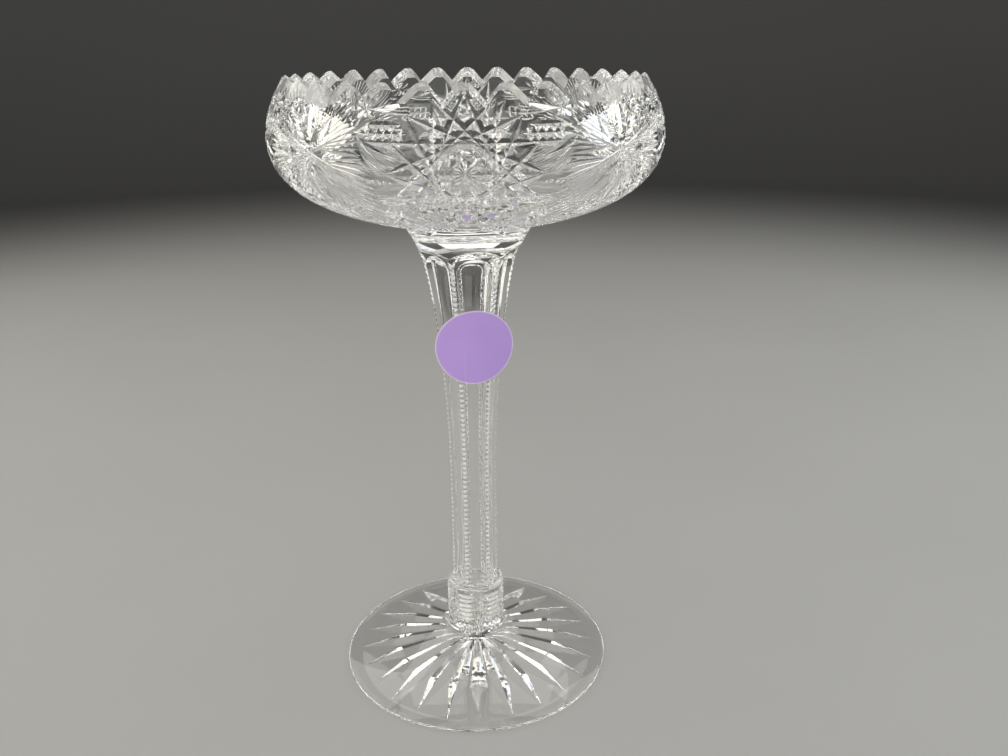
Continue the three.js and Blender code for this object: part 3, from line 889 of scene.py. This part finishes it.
def label_points():
    """The points of the back and then the front, their flat places, and the way it faces."""
    low = float(ridge_radius(LABEL_HEIGHT - LABEL_RADIUS))
    high = float(ridge_radius(LABEL_HEIGHT + LABEL_RADIUS))
    lean = math.atan2((high - low) * apothem, 2 * LABEL_RADIUS)
    ridge = (low + high) / 2 * math.sin(math.pi / STEM_SIDES)
    azimuth = STEM_TURN + math.pi / STEM_SIDES
    seat = (low + high) / 2 * apothem + LABEL_LIFT
    out_way, side_way = outward(azimuth), sideways(azimuth)
    up_way = np.array([0, 0, math.cos(lean)]) + out_way * math.sin(lean)
    front = np.cross(side_way, up_way)
    middle = out_way * seat + (0, 0, LABEL_HEIGHT)
    points, places = [], []
    for layer in (0, LABEL_THICK):
        for share in LABEL_SHARES:
            for angle in 2 * math.pi * np.arange(LABEL_SIDES) / LABEL_SIDES:
                x = LABEL_RADIUS * share * math.cos(angle)
                y = LABEL_RADIUS * share * math.sin(angle)
                back = (ridge**2 - x**2) / (2 * LABEL_BEND)
                points.append(middle + side_way * x + up_way * y + front * (back + layer))
                places.append((x / MM, y / MM, share))
    return points, places, front


def label_faces():
    """The back, the front and the cut edge between them."""
    rings, sides = len(LABEL_SHARES) - 1, LABEL_SIDES
    layer = (rings + 1) * sides
    faces = []
    for k in range(rings):
        for i in range(sides):
            a, b = k * sides + i, k * sides + (i + 1) % sides
            c, d = b + sides, a + sides
            faces.append((a, b, c, d))
            faces.append((a + layer, d + layer, c + layer, b + layer))
    for i in range(sides):
        a, b = rings * sides + i, rings * sides + (i + 1) % sides
        faces.append((a, b, b + layer, a + layer))
    return faces


def label_sheet():
    points, places, front = label_points()
    mesh = mesh_of(points, label_faces())
    place = mesh.attributes.new("label_place", "FLOAT_VECTOR", "POINT")
    place.data.foreach_set("vector", np.ravel(places))
    for face in mesh.polygons:
        face.material_index = int(face.normal @ Vector(front) < -0.5)
    return mesh


label_mesh = label_sheet()
print("the label has", len(label_mesh.polygons), "faces")

# %% [markdown]
# ## Shader maths
# Masks and mixes are easier to read as sums than as lists of nodes. A small class wraps a
# socket, and the operators on it add Math nodes. Numbers alone are worked out in Python.

# %% A socket that can be added and multiplied


class Wire:
    """An output socket of one finish. Sums and products on it add Math nodes."""

    def __init__(self, finish, socket):
        self.finish = finish
        self.socket = socket

    def _math(self, operation, first, second):
        return self.finish.node("ShaderNodeMath", {"operation": operation}, [first, second])

    def __add__(self, other):
        return self._math("ADD", self, other)

    def __mul__(self, other):
        return self._math("MULTIPLY", self, other)

    def __sub__(self, other):
        return self._math("SUBTRACT", self, other)

    def __rsub__(self, other):
        return self._math("SUBTRACT", other, self)

    __radd__ = __add__
    __rmul__ = __mul__


class Finish:
    """A material and the nodes that make it."""

    def __init__(self, name):
        self.material = bpy.data.materials.new(name)
        self.material.use_nodes = True
        self.tree = self.material.node_tree
        self.tree.nodes.clear()
        self.out = self.tree.nodes.new("ShaderNodeOutputMaterial")

    def node(self, kind, settings=None, inputs=(), output=0):
        """Makes a node: its settings come first, then the values or links of its sockets."""
        made = self.tree.nodes.new(kind)
        for key, value in (settings or {}).items():
            if key == "stops":
                ramp = made.color_ramp.elements
                while len(ramp) < len(value):
                    ramp.new(0.5)
                for stop, (place, colour) in zip(ramp, value):
                    stop.position, stop.color = place, colour
            else:
                setattr(made, key, value)
        pairs = inputs.items() if isinstance(inputs, dict) else enumerate(inputs)
        for key, value in pairs:
            if isinstance(value, Wire):
                self.tree.links.new(value.socket, made.inputs[key])
            else:
                made.inputs[key].default_value = value
        return Wire(self, made.outputs[output])

    def mix(self, factor, first, second):
        """A mix of two colours."""
        inputs = {0: factor, 6: first, 7: second}
        return self.node("ShaderNodeMix", {"data_type": "RGBA"}, inputs, 2)

    def step(self, value, low, high):
        """0 where the value is below low, 1 where it is above high, and smooth between."""
        settings = {"interpolation_type": "SMOOTHSTEP"}
        return self.node("ShaderNodeMapRange", settings, [value, low, high])

    def surface(self, wire):
        """The material, once a shader is joined to its output."""
        self.tree.links.new(wire.socket, self.out.inputs[0])
        return self.material


# %% [markdown]
# ## Clear lead glass
# Lead crystal bends light more than window glass does, and it has hardly any colour. The
# polish is not perfect: the acid bath leaves the surface very slightly wavy, and hands leave
# a haze. Both are kept very small, because a strong bump would blur the facets. The cut faces
# are polished less than the skin is, so a Mix Shader adds some silk, which is white diffuse
# light: a trace on the mitres and the star, and far more on the notches of the ridges.
#
# ### Lamps through glass
# A path tracer finds a lamp's light by a straight ray, and glass would stop that ray, so the
# floor under the foot would be black. Two Mix Shaders let the rays that look for light pass
# straight on, a little dimmed, while the camera still sees glass that bends and mirrors.

# %% The glass
LEAD_GLASS = 1.55
LET_THROUGH = (0.9, 0.9, 0.9, 1)
SILK_WHITE = (0.95, 0.94, 0.91, 1)
HAZE_STOPS = [(0.5, (0, 0, 0, 1)), (0.75, (1, 1, 1, 1))]


def cut_glass(name, silk):
    """Clear glass with a share of silk on its surface."""
    finish = Finish(name)
    place = finish.node("ShaderNodeTexCoord", output=3)
    waves = finish.node("ShaderNodeTexNoise", {}, {"Vector": place, "Scale": 120.0, "Detail": 2.0})
    haze = finish.node("ShaderNodeTexNoise", {}, {"Vector": place, "Scale": 35.0, "Detail": 4.0})
    smear = finish.node("ShaderNodeValToRGB", {"stops": HAZE_STOPS}, [haze])
    tint = finish.mix(waves, (0.985, 0.99, 0.985, 1), (1.0, 1.0, 0.995, 1))
    ripple = {"Strength": 0.03, "Distance": 0.3 * MM, "Height": waves}
    bump = finish.node("ShaderNodeBump", {}, ripple)
    glass = finish.node(
        "ShaderNodeBsdfPrincipled",
        {},
        {
            "Base Color": tint,
            "Roughness": smear * 0.015,
            "IOR": LEAD_GLASS,
            "Transmission Weight": 1.0,
            "Normal": bump,
        },
    )
    if silk:
        frost = finish.node("ShaderNodeBsdfDiffuse", {}, {"Color": SILK_WHITE})
        glass = finish.node("ShaderNodeMixShader", {}, [silk, glass, frost])
    passing = finish.node("ShaderNodeBsdfTransparent", {}, {"Color": LET_THROUGH})
    from_floor = finish.node("ShaderNodeLightPath", output="Is Diffuse Ray")
    to_lamp = finish.node("ShaderNodeLightPath", output="Is Shadow Ray")
    seen = finish.node("ShaderNodeMixShader", {}, [from_floor, glass, passing])
    return finish.surface(finish.node("ShaderNodeMixShader", {}, [to_lamp, seen, passing]))


glass = cut_glass("lead_glass", silk=0.0)
facet = cut_glass("wheel_cut_glass", silk=0.03)
notch = cut_glass("notched_glass", silk=0.55)
star = cut_glass("star_glass", silk=0.05)
print("clear glass has", len(glass.node_tree.nodes), "nodes")
print("with silk it has", len(star.node_tree.nodes))

# %% [markdown]
# ## The fused joints
# On the real object the four pieces of glass are one, and light passes from one to the next
# as if there were no face. Here they are four solids, and their end faces would mirror the
# light inside the stem. So those faces get a finish that can't be seen at all.

# %% The joints


def fused_joint():
    finish = Finish("fused_joint")
    clear = finish.node("ShaderNodeBsdfPrincipled", {}, {"Alpha": 0.0, "Roughness": 1.0})
    return finish.surface(clear)


joint = fused_joint()
print("made the finish", joint.name)

# %% [markdown]
# ## Purple paper
# The label is matt coloured paper with a fine fibre and a paler cut edge. It was pressed
# over a ridge of the stem, which left a short crease below its middle. The sheet carries a
# place for each point, in millimetres from its middle, so that the finish knows where it is.
# The side that sticks to the glass has a plain white finish, which shows through the stem.

# %% The paper
PAPER_DARK, PAPER_LIGHT = (0.54, 0.34, 0.86, 1), (0.62, 0.40, 0.94, 1)
PAPER_FIBRE = (0.66, 0.50, 0.92, 1)
PAPER_WORN = (0.74, 0.60, 0.94, 1)
PAPER_EDGE = (0.88, 0.82, 0.95, 1)
PAPER_BACK = (0.78, 0.76, 0.78, 1)
EDGE_SHARES = (0.955, 0.985)  # of the radius, where the edge starts and is full
CREASE_LEFT = 5.1  # millimetres from the middle
CREASE_LEAN = 0.03
CREASE_WIDTH = (0.05, 0.45)  # where it is full and where it has faded
CREASE_TOP = (-5.0, 1.0)  # millimetres up, where it starts to fade and is gone


def label_paper():
    finish = Finish("label_paper")
    spot = finish.node("ShaderNodeAttribute", {"attribute_name": "label_place"}, output="Vector")
    across, up, share = [finish.node("ShaderNodeSeparateXYZ", {}, [spot], k) for k in range(3)]
    edge = finish.step(share, *EDGE_SHARES)
    from_crease = across + CREASE_LEFT + up * CREASE_LEAN
    aside = finish.node("ShaderNodeMath", {"operation": "ABSOLUTE"}, [from_crease])
    crease = (1 - finish.step(aside, *CREASE_WIDTH)) * (1 - finish.step(up, *CREASE_TOP))
    place = finish.node("ShaderNodeTexCoord", output=3)
    fibre = finish.node("ShaderNodeTexNoise", {}, {"Vector": place, "Scale": 900.0, "Detail": 5.0})
    cloud = finish.node("ShaderNodeTexNoise", {}, {"Vector": place, "Scale": 60.0, "Detail": 2.0})
    body = finish.mix(cloud, PAPER_DARK, PAPER_LIGHT)
    fibrous = finish.mix(fibre * 0.35, body, PAPER_FIBRE)
    worn = finish.mix(crease * 0.35, fibrous, PAPER_WORN)
    colour = finish.mix(edge * 0.7, worn, PAPER_EDGE)
    relief = {"Strength": 0.25, "Distance": 0.2 * MM, "Height": fibre + crease * 1.5}
    bump = finish.node("ShaderNodeBump", {}, relief)
    paper = finish.node(
        "ShaderNodeBsdfPrincipled",
        {},
        {"Base Color": colour, "Roughness": 0.55 + cloud * 0.2, "Normal": bump},
    )
    return finish.surface(paper)


def label_back():
    """The white side that sticks to the glass."""
    finish = Finish("label_back")
    white = {"Base Color": PAPER_BACK, "Roughness": 0.7}
    return finish.surface(finish.node("ShaderNodeBsdfPrincipled", {}, white))


paper, backing = label_paper(), label_back()
print("the paper has", len(paper.node_tree.nodes), "nodes")

# %% [markdown]
# ## Pieces
# Each mesh becomes one piece that rides on the frame's body, and its CAD node is hidden. The
# cutters left their numbers on the faces, so the finishes are listed in that order. Emptying
# a mesh's list of materials would set all numbers to 0, so they are kept aside meanwhile.
# Edges sharper than an angle stay crisp, and the rest is shaded smooth.

# %% Pieces on their body
SHARP = math.radians(24)
LEVEL = 0.999  # how far up or down a joint's face has to point
JOINT_SLACK = 0.05 * MM


def piece(name, mesh, materials, node, joint_heights=()):
    """Shades a mesh, hangs it on the body and hides its CAD node."""
    mesh.name = name
    marks = np.empty(len(mesh.polygons), np.int32)
    mesh.polygons.foreach_get("material_index", marks)
    mesh.materials.clear()
    for material in materials:
        mesh.materials.append(material)
    mesh.polygons.foreach_set("material_index", marks)
    mesh.shade_smooth()
    mesh.set_sharp_from_angle(angle=SHARP)
    for face in mesh.polygons:
        at_joint = any(abs(face.center.z - height) < JOINT_SLACK for height in joint_heights)
        if at_joint and abs(face.normal.z) > LEVEL:
            face.material_index = JOINT_FACE
    made = bpy.data.objects.new(name, mesh)
    bpy.context.scene.collection.objects.link(made)
    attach(made, "root")
    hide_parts(node)
    print(name, "stands for", node)


clear = [glass, facet, notch, joint]
piece("cut_bowl", bowl_mesh, clear, "bowl", [BOWL_BASE])
piece("cut_stem", stem_mesh, clear, "stem", [STEM_BASE, STEM_TOP])
piece("cut_collar", collar_mesh, clear, "foot_collar", [COLLAR_BASE, COLLAR_TOP])
piece("cut_foot", foot_mesh, [glass, star, notch, joint], "foot", [FOOT_HEIGHT])
piece("paper_label", label_mesh, [paper, backing], "lot_sticker")

# %% [markdown]
# ## The studio
# Clear glass shows only its surroundings: it needs something pale to show against, and
# something darker for its facets to pick up. A floor with one wall would leave the facets of
# the other sides nothing to show, so the sweep is round. It turns up into a wall on all sides.
# Its colour carries a painted fall-off of the light: pale round the object, and painted darker
# further away as painted shade.

# %% Floor and backdrop
FLOOR_GAP = 0.1 * MM  # keeps the floor's face apart from the standing ring's
FLOOR_REACH = 1.75
WALL_TURN = 0.5
WALL_HEIGHT = 2.6
SWEEP_SIDES = 96
TURN_STEPS = 17
SWEEP_PALE = (0.40, 0.40, 0.395, 1), (0.43, 0.43, 0.425, 1)
# painted shade: the floor and wall are painted darker away from the object, as if the light fell
# off
SWEEP_PAINTED_SHADE = (0.15, 0.15, 0.147, 1)
# where the painted fall-off of the light starts and where its painted shade is full, in metres
# from the object
PAINTED_FALLOFF = (0.9, 1.8)  # metres from the object, where it starts and is full


def sweep_mesh():
    line = []
    for angle in np.linspace(0, math.pi / 2, TURN_STEPS):
        radius = FLOOR_REACH + WALL_TURN * math.sin(angle)
        line.append((radius, WALL_TURN * (1 - math.cos(angle)) - FLOOR_GAP))
    line.append((FLOOR_REACH + WALL_TURN, WALL_HEIGHT))
    around = outward(2 * math.pi * np.arange(SWEEP_SIDES) / SWEEP_SIDES)
    points = np.concatenate([around * radius + (0, 0, height) for radius, height in line])
    faces = [tuple(range(SWEEP_SIDES))]
    for ring in range(len(line) - 1):
        for k in range(SWEEP_SIDES):
            after = (k + 1) % SWEEP_SIDES
            low = ring * SWEEP_SIDES
            high = low + SWEEP_SIDES
            faces.append((low + k, high + k, high + after, low + after))
    return mesh_of(points, faces, "studio_sweep")


def sweep_finish():
    finish = Finish("pale_sweep")
    place = finish.node("ShaderNodeTexCoord", output=3)
    grain = finish.node("ShaderNodeTexNoise", {}, {"Vector": place, "Scale": 6.0, "Detail": 3.0})
    pale = finish.mix(grain, *SWEEP_PALE)
    reach = finish.node("ShaderNodeVectorMath", {"operation": "LENGTH"}, [place], 1)
    # painted shade: the colour darkens with the distance from the object
    colour = finish.mix(finish.step(reach, *PAINTED_FALLOFF), pale, SWEEP_PAINTED_SHADE)
    sheet = finish.node("ShaderNodeBsdfPrincipled", {}, {"Base Color": colour, "Roughness": 0.7})
    return finish.surface(sheet)


sweep = sweep_mesh()
sweep.shade_smooth()
sweep.materials.append(sweep_finish())
made = bpy.data.objects.new("studio_sweep", sweep)
bpy.context.scene.collection.objects.link(made)
print("the sweep has", len(sweep.polygons), "faces")

# %% [markdown]
# ## Lamps
# A facet that catches a small strong lamp burns out to plain white. Large weak lamps spread
# the same light over many facets, each at its own brightness. The left side is warmer and the
# right side cooler, and three lamps behind the object shine through it. The room is nearly
# dark, so that some facets stay dark as well.

# %% Lamps and room
AIM = (0, 0, 0.2)
WARM, COOL = (1.0, 0.94, 0.83), (0.9, 0.95, 1.0)
ROOM_GREY = (0.04, 0.042, 0.045, 1)
LAMPS = {  # place, width and height, watts and colour
    "top_lamp": ((0, -0.1, 1.3), (1.1, 0.9), 4.2, (1.0, 0.985, 0.95)),
    "left_lamp": ((-1.0, 0.05, 0.62), (1.5, 0.9), 5.0, WARM),
    "right_lamp": ((1.0, 0.05, 0.62), (1.5, 0.9), 5.0, COOL),
    "front_lamp": ((-0.3, -1.5, 1.0), (2.2, 1.4), 20, (1.0, 0.98, 0.93)),
    "back_lamp": ((0, 0.85, 1.15), (0.9, 0.5), 1.95, (1.0, 0.97, 0.9)),
    "back_left_lamp": ((-0.8, 0.75, 0.95), (0.7, 0.7), 2.1, (1.0, 0.96, 0.88)),
    "back_right_lamp": ((0.8, 0.75, 0.95), (0.7, 0.7), 2.1, (1.0, 0.96, 0.88)),
}


def soft_lamp(name, place, size, power, colour):
    lamp = bpy.data.lights.new(name, "AREA")
    lamp.shape = "RECTANGLE"
    lamp.size, lamp.size_y = size
    lamp.energy, lamp.color = power, colour
    made = bpy.data.objects.new(name, lamp)
    made.location = place
    made.rotation_euler = (Vector(AIM) - Vector(place)).to_track_quat("-Z", "Y").to_euler()
    bpy.context.scene.collection.objects.link(made)


for name, values in LAMPS.items():
    soft_lamp(name, *values)
room = bpy.data.worlds.new("room")
room.use_nodes = True
room.node_tree.nodes["Background"].inputs["Color"].default_value = ROOM_GREY
bpy.context.scene.world = room
print(len(LAMPS), "lamps aim at", AIM)

# %% [markdown]
# ## Long light paths
# In cut glass a ray is thrown back from facet to facet many times before it gets out. With
# the usual few bounces it ends inside, and that facet turns black, so more are allowed.

# %% Bounces
BOUNCES = 32
cycles = bpy.context.scene.cycles
cycles.max_bounces = cycles.glossy_bounces = cycles.transmission_bounces = BOUNCES
cycles.transparent_max_bounces = 2 * BOUNCES
print("a ray may turn", BOUNCES, "times")

# %% [markdown]
# ## The camera
# The photograph was taken from a little above the rim and close by, with a wide lens. The
# place, the tilt and the angle of view were worked out from the ellipses of the rim and the
# foot.

# %% Camera and colour
CAMERA_PLACE = (16.2 * MM, -450.6 * MM, 322.2 * MM)
CAMERA_DOWN = math.radians(19.9)
CAMERA_ROLL = math.radians(-0.42)
FOCAL_PIXELS = 956  # the distance from the lens to the image, in pixels of the photograph
IMAGE_WIDTH = 1008
SENSOR = 36.0
camera = bpy.data.cameras.new("camera")
camera.sensor_width = SENSOR
camera.sensor_fit = "HORIZONTAL"
camera.lens = SENSOR * FOCAL_PIXELS / IMAGE_WIDTH
camera.clip_start = 0.01
stand = bpy.data.objects.new("camera", camera)
stand.location = CAMERA_PLACE
stand.rotation_mode = "XYZ"
tilt = Vector((0, math.cos(CAMERA_DOWN), -math.sin(CAMERA_DOWN))).to_track_quat("-Z", "Y")
stand.rotation_euler = tilt.to_euler()
stand.rotation_euler.rotate_axis("Z", CAMERA_ROLL)
bpy.context.scene.collection.objects.link(stand)
bpy.context.scene.camera = stand
bpy.context.scene.view_settings.view_transform = "Standard"
print("the lens is", round(camera.lens, 1), "mm long")
